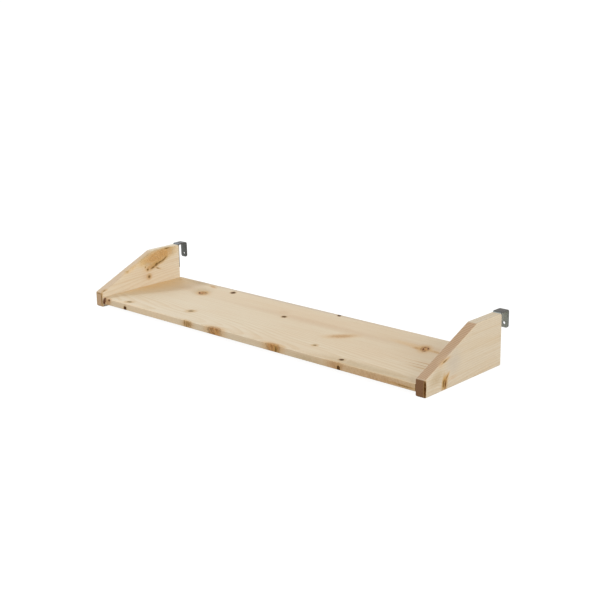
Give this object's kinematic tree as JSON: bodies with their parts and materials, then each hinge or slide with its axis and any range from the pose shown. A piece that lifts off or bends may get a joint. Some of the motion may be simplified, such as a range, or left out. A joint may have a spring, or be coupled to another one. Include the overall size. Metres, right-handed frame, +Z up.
{
  "type": "hanging bedside shelf",
  "caption": "Long pine shelf with low sloped side panels and bent steel hooks at the back that hang it on a bed's side rail.",
  "frame": {"origin": "on the plane that the side panels stand on, under the middle of the whole shelf with its hooks", "axes": "+X along the shelf to the right seen from the front, +Y from the front to the hooks at the back, +Z up"},
  "size_m": [0.9, 0.252, 0.1005],
  "materials": {
    "board_pine": "clear matt lacquer on knotty pine",
    "panel_pine": "clear matt lacquer on knotty pine",
    "hook_steel": "dull zinc plating",
    "screw_steel": "zinc plating",
    "bolt_steel": "zinc plating",
    "cam_zinc": "dull die-cast zinc",
    "dowel_beech": "bare beech"
  },
  "bodies": {
    "root": {"shelf_board": "board_pine", "side_panel_left": "panel_pine", "hook_left": "hook_steel", "hook_screw_left_upper": "screw_steel", "hook_screw_left_lower": "screw_steel", "cam_bolt_left_front": "bolt_steel", "cam_lock_left_front": "cam_zinc", "dowel_left_front": "dowel_beech", "cam_bolt_left_back": "bolt_steel", "cam_lock_left_back": "cam_zinc", "dowel_left_back": "dowel_beech", "side_panel_right": "panel_pine", "hook_right": "hook_steel", "hook_screw_right_upper": "screw_steel", "hook_screw_right_lower": "screw_steel", "cam_bolt_right_front": "bolt_steel", "cam_lock_right_front": "cam_zinc", "dowel_right_front": "dowel_beech", "cam_bolt_right_back": "bolt_steel", "cam_lock_right_back": "cam_zinc", "dowel_right_back": "dowel_beech"}
  },
  "joints": []
}
